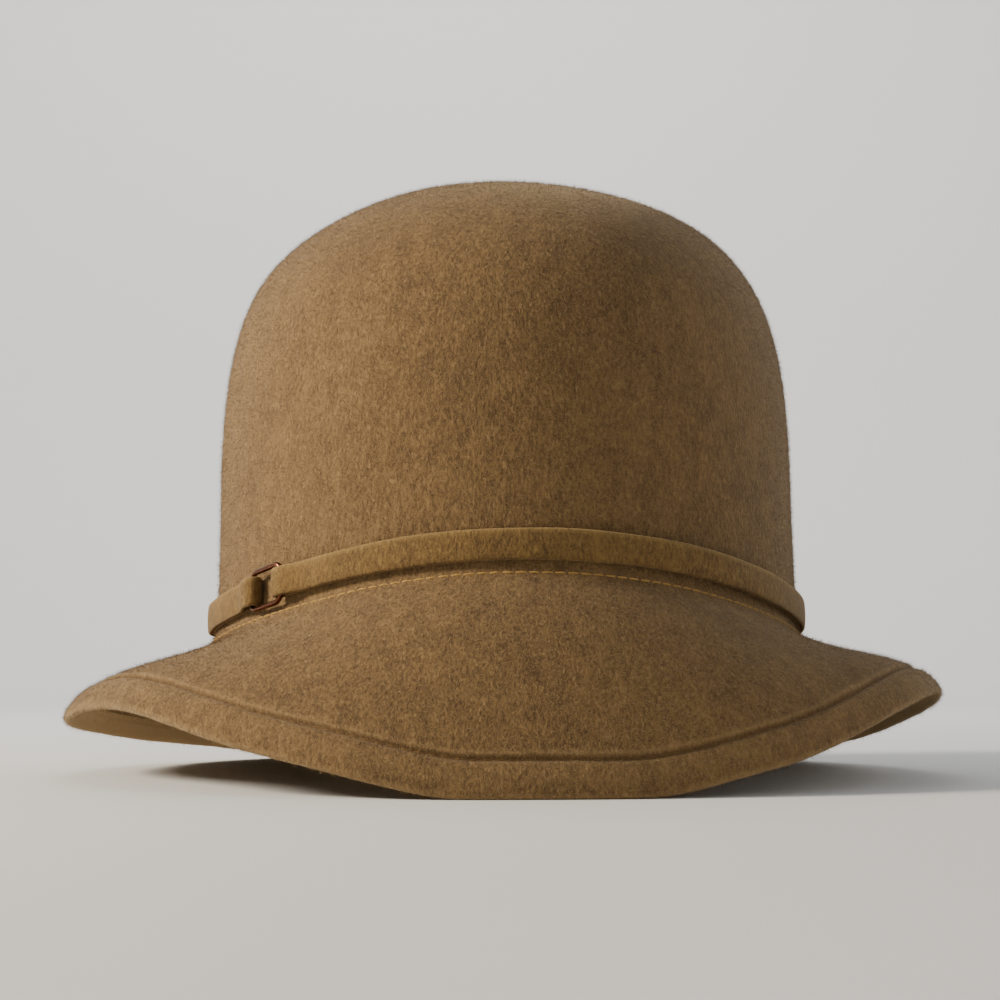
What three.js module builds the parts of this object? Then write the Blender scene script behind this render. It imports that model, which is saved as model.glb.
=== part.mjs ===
// A cloche hat of camel wool felt, resting on its brim. Millimetres, +Z up, front towards -Y.
import * as THREE from 'three';
import { mergeVertices } from 'three/addons/utils/BufferGeometryUtils.js';

// Crown: an upright oval dome that leans back a little when the brim rests on a table.
const crown = {
  halfWidth: 86,        // oval half axis across the head, outside the felt
  halfLength: 99,       // oval half axis front to back
  height: 129,          // from the break line, where the brim starts, to the top
  taper: 0.015,         // share of the width lost by the top
  squareness: 5.6,      // how upright the walls stay before the dome turns over
  breakHeight: 45.5,    // break line above the table, at the oval's middle
  breakWave: 7,         // the break line rises this much at front and back, and dips as much at the sides
  leanBack: THREE.MathUtils.degToRad(1.8),
};

// Felt and its turned-under hem.
const felt = {
  wall: 2.1,
  hemThickness: 3.5,    // two layers at the edge
  hemWidth: 10,
  restTrim: 0.55,       // how far the edge is pressed flat where it rests
  settle: 1.6,          // how much of the brim's wave the table takes up
};

// Brim, one row for each direction round the head (0 is the front, 90 is +X).
// reach: overhang past the crown; wave: edge above the table; start, end: slope below level in degrees.
const brimRows = [
  { direction: 0, reach: 26, wave: 0, start: 42, end: 75 },
  { direction: 30, reach: 31, wave: 10.5, start: 41, end: 72 },
  { direction: 60, reach: 38.5, wave: 27, start: 42, end: 57 },
  { direction: 90, reach: 40.5, wave: 21, start: 45, end: 46 },
  { direction: 120, reach: 41.5, wave: 8, start: 50, end: 40 },
  { direction: 150, reach: 41, wave: 1, start: 54, end: 37 },
  { direction: 180, reach: 37, wave: 0, start: 56, end: 35 },
  { direction: 210, reach: 37.5, wave: 4, start: 54, end: 36 },
  { direction: 240, reach: 40, wave: 11, start: 50, end: 39 },
  { direction: 270, reach: 43, wave: 17.5, start: 46, end: 46 },
  { direction: 300, reach: 37, wave: 24, start: 43, end: 58 },
  { direction: 330, reach: 32, wave: 12, start: 42, end: 69 },
];
const brimHandle = 0.36;      // curve handles, as a share of the brim's chord

// Strap of doubled felt round the foot of the crown, with an eye at each end for the slide's bars.
const band = {
  height: 8,
  foot: 2.6,            // its lower edge above the break line
  thickness: 2.6,
  layer: 1.3,           // one layer, where the ends part round a bar
  edgeRound: 0.7,
  eyeTaper: 5,          // length over which a layer parts from the other
  tipShare: 0.45,       // blunt end of the rounded tip, as a share of the thickness
  tipSteps: 3,
};

// Metal slide: an oblong loop of round wire lying on the crown, bent with it.
const slide = {
  direction: THREE.MathUtils.degToRad(-51),
  length: 15,
  wire: 1.5,
  cornerRadius: 2.2,
};

// Ribbon inside the foot of the crown.
const sweatband = { height: 28, foot: 1.2, thickness: 1 };

const gap = 0.3;        // between pieces that touch
const directions = 64;  // facets round the head
const crownRows = 13;
const brimSteps = 8;
const foldSteps = 5;
const wireSides = 8;
const cornerSteps = 5;
const barSteps = 4;
const circle = 2 * Math.PI;

// Frame of the break line: its oval lies in this group's XY plane.
const headFrame = new THREE.Group();
headFrame.rotation.x = -crown.leanBack;
headFrame.position.z = crown.breakHeight;
headFrame.updateMatrix();

// Point on the crown's oval in a direction, moved out from it by offset, at a height above the break line.
function onOval(direction, offset, height) {
  const sine = Math.sin(direction);
  const cosine = Math.cos(direction);
  const outward = new THREE.Vector2(sine / crown.halfWidth, -cosine / crown.halfLength).normalize();
  return new THREE.Vector3(
    crown.halfWidth * sine + offset * outward.x,
    -crown.halfLength * cosine + offset * outward.y,
    height + crown.breakWave * Math.cos(2 * direction),
  );
}

// Turn along the oval that covers a short length at a direction.
function turnFor(length, direction) {
  const across = crown.halfWidth * Math.cos(direction);
  const along = crown.halfLength * Math.sin(direction);
  return length / Math.hypot(across, along);
}

// One brim row's values at any direction, by a smooth closed curve through the table.
function brimAt(direction) {
  const place = THREE.MathUtils.euclideanModulo(direction / circle, 1) * brimRows.length;
  const first = Math.floor(place);
  const t = place - first;
  const row = (step) => brimRows[(first + step + brimRows.length) % brimRows.length];
  const between = (column) => {
    const [before, from, to, after] = [-1, 0, 1, 2].map((step) => row(step)[column]);
    const slopeFrom = (to - before) / 2;
    const slopeTo = (after - from) / 2;
    const bend = 3 * (to - from) - 2 * slopeFrom - slopeTo;
    const twist = 2 * (from - to) + slopeFrom + slopeTo;
    return from + slopeFrom * t + bend * t ** 2 + twist * t ** 3;
  };
  const above = Math.max(0, between('wave') - felt.settle);
  return {
    reach: between('reach'),
    lift: above ** 2 / (above + felt.settle),
    start: THREE.MathUtils.degToRad(between('start')),
    end: THREE.MathUtils.degToRad(between('end')),
  };
}

// Brim section in one direction as points (overhang, height above the table), from the crown's outside
// over the edge's fold to the crown's inside.
function brimSection(direction) {
  const { reach, lift, start, end } = brimAt(direction);
  const breakPoint = onOval(direction, 0, 0).applyMatrix4(headFrame.matrix);
  const half = felt.hemThickness / 2;
  const edge = new THREE.Vector2(reach, lift + half - felt.restTrim);
  const along = (slope) => new THREE.Vector2(Math.cos(slope), -Math.sin(slope));
  const from = new THREE.Vector2(0, breakPoint.z);
  const to = edge.clone().add(new THREE.Vector2(Math.sin(end), Math.cos(end)).multiplyScalar(half));
  const handle = brimHandle * from.distanceTo(to);
  const curve = new THREE.CubicBezierCurve(
    from,
    from.clone().addScaledVector(along(start), handle),
    to.clone().addScaledVector(along(end), -handle),
    to,
  );
  const under = (share, depth) => {
    const tangent = curve.getTangentAt(share);
    return curve.getPointAt(share).add(new THREE.Vector2(tangent.y, -tangent.x).multiplyScalar(depth));
  };
  const hemShare = 1 - felt.hemWidth / curve.getLength();
  const points = curve.getSpacedPoints(brimSteps);
  for (let step = 1; step < foldSteps; step += 1) {
    const turn = Math.PI / 2 - end - (Math.PI * step) / foldSteps;
    points.push(edge.clone().add(new THREE.Vector2(Math.cos(turn), Math.sin(turn)).multiplyScalar(half)));
  }
  points.push(under(1, felt.hemThickness));
  points.push(under((1 + hemShare) / 2, felt.hemThickness));
  points.push(under(hemShare, felt.hemThickness));
  for (let step = brimSteps - 1; step >= 0; step -= 1) {
    points.push(under((hemShare * step) / (brimSteps - 1), felt.wall));
  }
  return points;
}

// Closed surface through rings of points; poles close its two ends, or the last ring meets the first.
function ringSolid(rings, poles) {
  const count = rings[0].length;
  const corners = rings.flat();
  const faces = [];
  const strips = poles ? rings.length - 1 : rings.length;
  for (let ring = 0; ring < strips; ring += 1) {
    const here = ring * count;
    const next = ((ring + 1) % rings.length) * count;
    for (let side = 0; side < count; side += 1) {
      const beside = (side + 1) % count;
      faces.push(here + side, next + side, next + beside, here + side, next + beside, here + beside);
    }
  }
  if (poles) {
    const last = (rings.length - 1) * count;
    const top = corners.push(poles[0]) - 1;
    const end = corners.push(poles[1]) - 1;
    for (let side = 0; side < count; side += 1) {
      const beside = (side + 1) % count;
      faces.push(top, side, beside, end, last + beside, last + side);
    }
  }
  const solid = new THREE.BufferGeometry();
  solid.setAttribute('position', new THREE.Float32BufferAttribute(corners.flatMap((p) => p.toArray()), 3));
  solid.setIndex(faces);
  solid.computeVertexNormals();
  return solid;
}

// Ring of points, one for each direction round the head.
function roundTheHead(pointAt) {
  return Array.from({ length: directions }, (_, side) => pointAt((circle * side) / directions));
}

// Width of the dome at a share of its height, as a share of its width at the break.
function domeScale(share) {
  return (1 - crown.taper * share) * Math.sqrt(1 - share ** crown.squareness);
}

// Point inside the dome's outside by inset, at a share of its height, in the break line's frame.
function onDome(direction, inset, share) {
  return new THREE.Vector3(
    (crown.halfWidth - inset) * domeScale(share) * Math.sin(direction),
    -(crown.halfLength - inset) * domeScale(share) * Math.cos(direction),
    (crown.height - inset) * share,
  );
}

// Ring of the dome; rows crowd towards the top, where it turns over.
function domeRing(row, inset) {
  const share = 1 - (1 - row / crownRows) ** 2;
  return roundTheHead((direction) => onDome(direction, inset, share).applyMatrix4(headFrame.matrix));
}

function feltBody() {
  const sections = roundTheHead(brimSection);
  const brimRings = sections[0].map((_, place) => sections.map((section, side) => {
    const { x, y } = section[place];
    const rim = onOval((circle * side) / directions, x, 0);
    return new THREE.Vector3(rim.x, rim.y * Math.cos(crown.leanBack), Math.max(0, y));
  }));
  const rows = Array.from({ length: crownRows - 1 }, (_, row) => row + 1);
  const outside = rows.map((row) => domeRing(row, 0)).reverse();
  const inside = rows.map((row) => domeRing(row, felt.wall));
  const pole = (inset) => onDome(0, inset, 1).applyMatrix4(headFrame.matrix);
  return ringSolid([...outside, ...brimRings, ...inside], [pole(0), pole(felt.wall)]);
}

// Distance of the wire's middle from the crown: it runs between the strap's two parted layers.
const wireOffset = 2 * gap + band.layer + slide.wire / 2;
const barReach = slide.length / 2 - slide.wire / 2;

// Lifts a flat ring's points so that it follows the break line's wave.
function followBreak(solid) {
  const points = solid.attributes.position;
  for (let place = 0; place < points.count; place += 1) {
    const across = points.getX(place) / crown.halfWidth;
    const along = points.getY(place) / crown.halfLength;
    const direction = Math.atan2(across, -along);
    points.setZ(place, points.getZ(place) + crown.breakWave * Math.cos(2 * direction));
  }
}

// Strap seen from above as a closed outline, from one eye round the head to the other, raised to its height.
function strap() {
  const eyeRadius = slide.wire / 2 + gap;
  const tip = barReach - eyeRadius - band.layer;
  const parted = 2 * (band.layer + eyeRadius);
  const turn = (length) => turnFor(length, slide.direction);
  const start = slide.direction + turn(tip);
  const sweep = circle - 2 * turn(tip);
  const fromEnd = (at) => Math.min(at, sweep - at);
  const fullThickness = (at) => {
    const closing = THREE.MathUtils.smoothstep(fromEnd(at), turn(parted), turn(parted + band.eyeTaper));
    return THREE.MathUtils.lerp(parted, band.thickness, closing);
  };
  const roundedTip = (at) => {
    const share = Math.min(1, fromEnd(at) / turn(band.layer));
    return THREE.MathUtils.lerp(band.tipShare, 1, Math.sqrt(share * (2 - share)));
  };
  const side = (at, isOuter) => {
    const full = fullThickness(at);
    const inset = (full * (1 - roundedTip(at))) / 2;
    const point = onOval(start + at, isOuter ? gap + full - inset : gap + inset, 0);
    return new THREE.Vector2(point.x, point.y);
  };
  const tips = Array.from({ length: band.tipSteps + 1 }, (_, step) => (
    turn(band.layer) * (step / band.tipSteps) ** 2
  ));
  const stops = [...tips];
  for (let step = 1; step < 2 * directions; step += 1) {
    const at = (sweep * step) / (2 * directions);
    const isNearEye = fromEnd(at) < turn(parted + band.eyeTaper);
    if (fromEnd(at) > turn(2 * band.layer) && (isNearEye || step % 2 === 0)) stops.push(at);
  }
  stops.push(...tips.map((at) => sweep - at).reverse());
  const outline = new THREE.Shape([
    ...stops.map((at) => side(at, true)),
    ...stops.map((at) => side(at, false)).reverse(),
  ]);
  for (const end of [1, -1]) {
    const eye = onOval(slide.direction + end * turn(barReach), wireOffset, 0);
    outline.holes.push(new THREE.Path().absarc(eye.x, eye.y, eyeRadius, 0, circle));
  }
  const solid = new THREE.ExtrudeGeometry(outline, {
    depth: band.height - 2 * band.edgeRound,
    bevelThickness: band.edgeRound,
    bevelSize: band.edgeRound / 2,
    bevelOffset: -band.edgeRound / 2,
    bevelSegments: 1,
    curveSegments: wireSides,
  });
  solid.translate(0, 0, band.foot + band.edgeRound);
  followBreak(solid);
  solid.deleteAttribute('normal');
  solid.deleteAttribute('uv');
  const whole = mergeVertices(solid);
  whole.computeVertexNormals();
  return whole;
}

// Round wire along a rounded oblong, bent round the crown.
function slideLoop() {
  const halfHeight = band.height / 2 + gap + slide.wire / 2;
  const middle = band.foot + band.height / 2;
  const path = [];
  const corners = [
    { along: 1, up: 1 }, { along: -1, up: 1 }, { along: -1, up: -1 }, { along: 1, up: -1 },
  ];
  corners.forEach(({ along, up }, corner) => {
    for (let step = 0; step <= cornerSteps; step += 1) {
      const turn = (Math.PI / 2) * (corner + step / cornerSteps);
      path.push(new THREE.Vector2(
        along * (barReach - slide.cornerRadius) + slide.cornerRadius * Math.cos(turn),
        up * (halfHeight - slide.cornerRadius) + slide.cornerRadius * Math.sin(turn),
      ));
    }
    const isLongBar = up === along;
    const from = path[path.length - 1];
    for (let step = 1; isLongBar && step < barSteps; step += 1) {
      path.push(new THREE.Vector2(from.x * (1 - (2 * step) / barSteps), from.y));
    }
  });
  const rings = path.map((point, place) => {
    const before = path[(place - 1 + path.length) % path.length];
    const after = path[(place + 1) % path.length];
    const tangent = after.clone().sub(before).normalize();
    return Array.from({ length: wireSides }, (_, side) => {
      const turn = (circle * side) / wireSides;
      const sideways = (slide.wire / 2) * Math.cos(turn);
      const along = point.x + tangent.y * sideways;
      const up = point.y - tangent.x * sideways;
      const direction = slide.direction + turnFor(along, slide.direction);
      return onOval(direction, wireOffset + (slide.wire / 2) * Math.sin(turn), middle + up);
    });
  });
  return ringSolid(rings);
}

// Ribbon round the inside of the crown's foot, between two insets of the dome.
function ribbon() {
  const near = felt.wall + gap;
  const far = near + sweatband.thickness;
  const heights = [0, 0.5, 1].map((share) => sweatband.foot + share * sweatband.height);
  const section = [
    ...heights.map((height) => ({ inset: far, height })),
    ...heights.map((height) => ({ inset: near, height })).reverse(),
  ];
  return ringSolid(section.map(({ inset, height }) => roundTheHead((direction) => {
    const up = height + crown.breakWave * Math.cos(2 * direction);
    return onDome(direction, inset, Math.max(0, up) / crown.height).setZ(up);
  })));
}

const feltColour = new THREE.MeshStandardMaterial({ color: 0xa17f50, roughness: 0.95, metalness: 0 });
const bandColour = new THREE.MeshStandardMaterial({ color: 0x94733f, roughness: 0.95, metalness: 0 });
const bronze = new THREE.MeshStandardMaterial({ color: 0x5d3a24, roughness: 0.3, metalness: 1 });
const ribbonColour = new THREE.MeshStandardMaterial({ color: 0x6e4526, roughness: 0.7, metalness: 0 });

function piece(name, geometry, material) {
  const mesh = new THREE.Mesh(geometry, material);
  mesh.name = name;
  return mesh;
}

headFrame.add(
  piece('band', strap(), bandColour),
  piece('slide', slideLoop(), bronze),
  piece('sweatband', ribbon(), ribbonColour),
);

// The hat's origin is under the middle of its outline, on the table.
const hat = new THREE.Group();
hat.add(piece('felt_body', feltBody(), feltColour), headFrame);
const outlineBox = new THREE.Box3().setFromObject(hat);
const centre = outlineBox.getCenter(new THREE.Vector3());
hat.position.set(-centre.x, -centre.y, -outlineBox.min.z);

export default hat;
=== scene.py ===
# Cloche hat of camel wool felt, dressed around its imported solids. Metres, front towards -Y.
import math

import bpy
import numpy as np
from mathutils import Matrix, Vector, noise


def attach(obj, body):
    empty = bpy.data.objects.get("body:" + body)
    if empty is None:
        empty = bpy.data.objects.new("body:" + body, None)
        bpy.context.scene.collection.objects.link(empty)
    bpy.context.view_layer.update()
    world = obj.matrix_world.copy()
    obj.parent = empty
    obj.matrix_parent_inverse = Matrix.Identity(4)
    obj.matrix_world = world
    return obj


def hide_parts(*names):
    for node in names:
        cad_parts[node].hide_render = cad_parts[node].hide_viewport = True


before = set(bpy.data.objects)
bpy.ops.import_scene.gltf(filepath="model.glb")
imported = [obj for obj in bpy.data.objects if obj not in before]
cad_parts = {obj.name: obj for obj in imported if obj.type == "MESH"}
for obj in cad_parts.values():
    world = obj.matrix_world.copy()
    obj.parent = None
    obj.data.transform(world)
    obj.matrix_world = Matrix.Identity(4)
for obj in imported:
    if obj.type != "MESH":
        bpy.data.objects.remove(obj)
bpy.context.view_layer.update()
fullTurn = 2 * math.pi
mm = 0.001
print("frame loaded:", ", ".join(sorted(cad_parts)))


# camera and light

camera = {
    "azimuth": math.radians(-4),
    "elevation": math.radians(-5.3),
    "distance": 0.585,
    "focalPixels": 1900,
    "imagePixels": 1000,
    "sensor": 36,
    "aim": Vector((0, 0, 0.083)),
}


def placeCamera():
    data = bpy.data.cameras.new("photoCamera")
    data.sensor_width = camera["sensor"]
    data.lens = camera["focalPixels"] * camera["sensor"] / camera["imagePixels"]
    eye = bpy.data.objects.new("photoCamera", data)
    level = math.cos(camera["elevation"])
    back = Vector((
        math.sin(camera["azimuth"]) * level,
        -math.cos(camera["azimuth"]) * level,
        math.sin(camera["elevation"]),
    ))
    eye.location = camera["aim"] + camera["distance"] * back
    eye.rotation_euler = (-back).to_track_quat("-Z", "Y").to_euler()
    bpy.context.collection.objects.link(eye)
    bpy.context.scene.camera = eye


hatMiddle = (0, 0, 0.07)
lamps = {  # place, aim, size, watts, colour
    "window": ((-1.15, -0.2, 0.62), hatMiddle, 0.34, 30.0, (1.0, 0.9, 0.74)),
    "fill": ((0.9, -0.9, 0.5), hatMiddle, 1.0, 1.2, (0.84, 0.91, 1.0)),
    "shadowSide": ((1.25, 0.55, 0.7), hatMiddle, 1.0, 4.0, (0.9, 0.95, 1.0)),
    "wallWash": ((0.0, 0.75, 1.25), (0, 1.8, 0.35), 0.8, 15.0, (0.95, 0.97, 1.0)),
}
air = {"light": 0.33, "tint": (0.92, 0.95, 1.0)}   # even light from all round


def placeLights():
    for name, (place, aim, size, watts, colour) in lamps.items():
        data = bpy.data.lights.new(name, "AREA")
        data.shape = "DISK"
        data.size = size
        data.energy = watts
        data.color = colour
        lamp = bpy.data.objects.new(name, data)
        lamp.location = place
        away = Vector(place) - Vector(aim)
        lamp.rotation_euler = away.to_track_quat("Z", "Y").to_euler()
        bpy.context.collection.objects.link(lamp)
    world = bpy.data.worlds.new("paleRoom")
    world.use_nodes = True
    background = world.node_tree.nodes["Background"]
    background.inputs["Color"].default_value = (*air["tint"], 1)
    background.inputs["Strength"].default_value = air["light"]
    bpy.context.scene.world = world


placeCamera()
placeLights()
print("camera and lights placed")


# node trees

class Socket:
    # an output socket, so that sums on it read as plain maths
    def __init__(self, tree, output):
        self.tree = tree
        self.output = output

    def __add__(self, other):
        return self.tree.maths("ADD", self, other)

    def __radd__(self, other):
        return self.tree.maths("ADD", other, self)

    def __sub__(self, other):
        return self.tree.maths("SUBTRACT", self, other)

    def __rsub__(self, other):
        return self.tree.maths("SUBTRACT", other, self)

    def __mul__(self, other):
        return self.tree.maths("MULTIPLY", self, other)

    def __rmul__(self, other):
        return self.tree.maths("MULTIPLY", other, self)

    def __abs__(self):
        return self.tree.maths("ABSOLUTE", self)

    def clamped(self):
        return self.tree.add("ShaderNodeClamp", {}, {"Value": self})

    def sibling(self, output):
        # another output of the same node
        return Socket(self.tree, self.output.node.outputs[output])


class Tree:
    # a node tree whose nodes all come from one method
    def __init__(self, tree):
        self.tree = tree

    def add(self, kind, settings, sockets, output=0):
        node = self.tree.nodes.new(kind)
        for name, value in settings.items():
            setattr(node, name, value)
        for name, value in sockets.items():
            if isinstance(value, Socket):
                self.tree.links.new(value.output, node.inputs[name])
            else:
                node.inputs[name].default_value = value
        return Socket(self, node.outputs[output])

    def maths(self, operation, *values):
        return self.add("ShaderNodeMath", {"operation": operation}, dict(enumerate(values)))


class Finish(Tree):
    # a material with one Principled shader
    def __init__(self, name, **fixed):
        self.material = bpy.data.materials.new(name)
        self.material.use_nodes = True
        super().__init__(self.material.node_tree)
        self.shader = self.tree.nodes["Principled BSDF"]
        for socket, value in fixed.items():
            self.shader.inputs[socket.replace("_", " ")].default_value = value

    def feed(self, **links):
        for socket, value in links.items():
            self.tree.links.new(value.output, self.shader.inputs[socket.replace("_", " ")])

    def place(self):
        return self.add("ShaderNodeTexCoord", {}, {}, "Object")

    def stored(self, name):
        return self.add("ShaderNodeAttribute", {"attribute_name": name}, {}, "Fac")

    def cloud(self, place, scale, detail, distortion=0.0):
        return self.add("ShaderNodeTexNoise", {}, {
            "Vector": place,
            "Scale": scale,
            "Detail": detail,
            "Roughness": 0.55,
            "Distortion": distortion,
        })

    def stretched(self, place, offset, scale):
        return self.add("ShaderNodeMapping", {}, {"Vector": place, "Location": offset, "Scale": scale})

    def blend(self, share, first, second):
        settings = {"data_type": "RGBA"}
        return self.add("ShaderNodeMix", settings, {"Factor": share, 6: first, 7: second}, 2)

    def raised(self, height, strength, distance):
        sockets = {"Height": height, "Strength": strength, "Distance": distance}
        return self.add("ShaderNodeBump", {}, sockets, "Normal")


# felt: clouds of several sizes move its colour and its height; stored marks add edge wear, painted
# highlight on ridges and painted shade in the stitched groove

felt = {
    "clouds": {  # scale, detail, offset, stretch
        "broad": (22, 2, (0, 0, 0), (1, 1, 1)),
        "patches": (210, 3, (0, 0, 0), (1, 1, 0.7)),
        "nap": (1250, 2, (0.37, 0.11, 0.53), (1, 1, 0.5)),
        "grain": (2300, 1, (0, 0, 0), (1, 1, 1)),
        "flecks": (900, 1, (0.71, 0.29, 0.17), (1, 1, 0.6)),
    },
    "outside": {"patches": 1.2, "broad": 0.5, "nap": 1.7, "grain": 1.3},   # contrast of each in the colour
    "inside": {"patches": 0.9, "broad": 0.7},
    "height": {"patches": 0.4, "nap": 0.55, "grain": 0.3, "flecks": 0.3},
    "fleckFrom": 0.55,
    "fleckContrast": 4.0,
    "fleckShare": 0.34,
    "wearAndHighlightShare": 0.45,
    # share of the deep tone laid into the stitched groove as painted shade
    "grooveShadeShare": 0.7,
    "innerNap": 1.4,               # contrast of the nap on the inside
    "hemShare": 0.75,
    "innerFlat": 0.45,             # how much smoother the inside is
    "bump": 0.6,
    "bumpHeight": 0.7 * mm,
}
camelTones = {
    "deep": (0.078, 0.0405, 0.013, 1),
    "camel": (0.19, 0.111, 0.039, 1),
    "pale": (0.345, 0.222, 0.092, 1),
    "innerDeep": (0.17, 0.098, 0.028, 1),
    "innerPale": (0.33, 0.205, 0.066, 1),
    "hem": (0.235, 0.138, 0.045, 1),
}
bandTones = {  # a little more golden than the hat
    **camelTones,
    "deep": (0.074, 0.0375, 0.009, 1),
    "camel": (0.18, 0.102, 0.026, 1),
    "pale": (0.325, 0.204, 0.062, 1),
}


def uneven(clouds, contrast):
    # a share round one half that wanders with the clouds
    share = 0.5
    for kind, weight in contrast.items():
        share = share + (clouds[kind] - 0.5) * weight
    return share.clamped()


def makeFelt(name, tones):
    sheen = {"Sheen_Weight": 0.22, "Sheen_Roughness": 0.45, "Sheen_Tint": (1.0, 0.8, 0.52, 1)}
    finish = Finish(name, Roughness=0.95, **sheen)
    place = finish.place()
    clouds = {}
    for kind, (scale, detail, offset, stretch) in felt["clouds"].items():
        clouds[kind] = finish.cloud(finish.stretched(place, offset, stretch), scale, detail)
    flecks = ((clouds["flecks"] - felt["fleckFrom"]) * felt["fleckContrast"]).clamped() * felt["fleckShare"]
    # the worn mark is real wear on the rounded brim edge, plus painted highlight on the lip above the hem's
    # thread, on the puffed hem and along the band's top edge
    worn = (finish.stored("worn") * felt["wearAndHighlightShare"]).clamped()
    # painted shade: the stitched groove is darkened towards the deep tone
    groove = (finish.stored("groove") * felt["grooveShadeShare"]).clamped()
    outside = finish.blend(uneven(clouds, felt["outside"]), tones["deep"], tones["camel"])
    outside = finish.blend(flecks, outside, tones["pale"])
    outside = finish.blend(worn, outside, tones["pale"])
    outside = finish.blend(groove, outside, tones["deep"])
    nap = ((clouds["nap"] - 0.5) * felt["innerNap"]).clamped()
    hem = (finish.stored("hem") * felt["hemShare"]).clamped()
    within = finish.blend(uneven(clouds, felt["inside"]), tones["innerDeep"], tones["innerPale"])
    within = finish.blend(nap, within, tones["innerPale"])
    within = finish.blend(hem, within, tones["hem"])
    inner = finish.stored("inner")
    lumps = sum(clouds[kind] * weight for kind, weight in felt["height"].items())
    height = lumps * (1 - inner * felt["innerFlat"])
    finish.feed(
        Base_Color=finish.blend(inner, outside, within),
        Normal=finish.raised(height, felt["bump"], felt["bumpHeight"]),
    )
    return finish.material


# thread, metal, ribbon, fibres and floor

threadLook = {"twist": 1400, "waver": 1.0, "darkest": 0.6}
bronze = {
    "dark": (0.075, 0.024, 0.012, 1),
    "worn": (0.19, 0.075, 0.038, 1),
    "wear": 520,
    "waver": 0.8,
    "polish": 0.16,                # roughness where it is darkest
    "dulled": 0.18,                # what wear adds to it
}
ribbonLook = {
    "dark": (0.125, 0.055, 0.022, 1),
    "light": (0.285, 0.138, 0.06, 1),
    "broad": 45,
    "weave": 1100,
    "between": 0.25,               # share of the light tone between the ribs
    "onRibs": 0.35,                # what a rib adds to it
    "contrast": 0.5,
}


def makeThread(name, tone):
    finish = Finish(name, Roughness=0.75, Specular_IOR_Level=0.25)
    twist = finish.cloud(finish.place(), threadLook["twist"], 1, threadLook["waver"])
    darker = tuple(threadLook["darkest"] * part for part in tone[:3]) + (1,)
    finish.feed(Base_Color=finish.blend(twist, darker, tone))
    return finish.material


def makeBronze():
    finish = Finish("darkBronze", Metallic=1.0)
    wear = finish.cloud(finish.place(), bronze["wear"], 3, bronze["waver"])
    finish.feed(
        Base_Color=finish.blend(wear, bronze["dark"], bronze["worn"]),
        Roughness=bronze["polish"] + bronze["dulled"] * wear,
    )
    return finish.material


def makeRibbon():
    sheen = {"Sheen_Weight": 0.12, "Sheen_Roughness": 0.4, "Sheen_Tint": (1.0, 0.62, 0.4, 1)}
    finish = Finish("brownRibbon", Roughness=0.62, **sheen)
    place = finish.place()
    share = ribbonLook["between"] + ribbonLook["onRibs"] * finish.stored("rib")
    for kind in ("broad", "weave"):
        share = share + (finish.cloud(place, ribbonLook[kind], 2) - 0.5) * ribbonLook["contrast"]
    finish.feed(Base_Color=finish.blend(share.clamped(), ribbonLook["dark"], ribbonLook["light"]))
    return finish.material


def makeFuzz(name, tone):
    return Finish(name, Base_Color=tone, Roughness=0.9, Sheen_Weight=0.25, Sheen_Roughness=0.5).material


def makeFloor():
    return Finish("palePlaster", Base_Color=(0.72, 0.715, 0.7, 1), Roughness=0.85).material


camelFelt = makeFelt("camelFelt", camelTones)
bandFelt = makeFelt("bandFelt", bandTones)
goldThread = makeThread("goldThread", (0.46, 0.27, 0.075, 1))
brownThread = makeThread("brownThread", (0.185, 0.1, 0.034, 1))
darkBronze = makeBronze()
brownRibbon = makeRibbon()
paleFuzz = makeFuzz("paleFuzz", (0.3, 0.193, 0.08, 1))
camelFuzz = makeFuzz("camelFuzz", (0.215, 0.13, 0.05, 1))
deepFuzz = makeFuzz("deepFuzz", (0.1, 0.0545, 0.0185, 1))
bandFuzz = makeFuzz("bandFuzz", (0.2, 0.119, 0.034, 1))
innerFuzz = makeFuzz("innerFuzz", (0.285, 0.172, 0.056, 1))
print("finishes made")


# shapes that every piece shares

crown = {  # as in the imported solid
    "halfWidth": 86 * mm,
    "halfLength": 99 * mm,
    "height": 129 * mm,
    "taper": 0.015,
    "squareness": 5.6,
    "breakHeight": 45.5 * mm,      # of the fold between crown and brim
    "breakWave": 7 * mm,
    "waveFades": 0.16,             # share of the height where the dome has lost that wave
    "leanBack": math.radians(1.8),
    "middle": (1.25 * mm, -5.4889 * mm),   # of its oval, seen from above
    "samples": 600,
}
brimTable = np.array([
    # reach and wave in mm, slopes at the crown and at the edge in degrees
    # a row every 30 degrees, from the front round by the wearer's left
    [26, 0, 42, 75],
    [31, 10.5, 41, 72],
    [38.5, 27, 42, 57],
    [40.5, 21, 45, 46],
    [41.5, 8, 50, 40],
    [41, 1, 54, 37],
    [37, 0, 56, 35],
    [37.5, 4, 54, 36],
    [40, 11, 50, 39],
    [43, 17.5, 46, 46],
    [37, 24, 43, 58],
    [32, 12, 42, 69],
])
brim = {
    "handle": 0.36,                # of the curve from crown to edge, as a share of its span
    "settle": 1.6,                 # mm of wave that the felt's weight takes out
    "wall": 2.1 * mm,
    "hemThickness": 3.5 * mm,
    "hemWidth": 10 * mm,
    "seamFromHem": 1.7 * mm,       # stitch row to the hem's raw edge
    "restTrim": 0.55 * mm,         # what the flat rest takes off the rounded edge
    "restSoft": 0.5 * mm,          # rounds the corners between the flat rest and the rising edge
    "samples": 160,
}


def turnsRound(count):
    return fullTurn * np.arange(count) / count


def breakWave(direction):
    return crown["breakWave"] * np.cos(2 * direction)


def onOval(direction, offset, height):
    # points on the crown's oval, moved out by offset, in the break line's frame
    sine, cosine = np.sin(direction), np.cos(direction)
    outX, outY = sine / crown["halfWidth"], -cosine / crown["halfLength"]
    size = np.hypot(outX, outY)
    return np.stack([
        crown["halfWidth"] * sine + offset * outX / size,
        -crown["halfLength"] * cosine + offset * outY / size,
        height + breakWave(direction),
    ], axis=-1)


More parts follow.
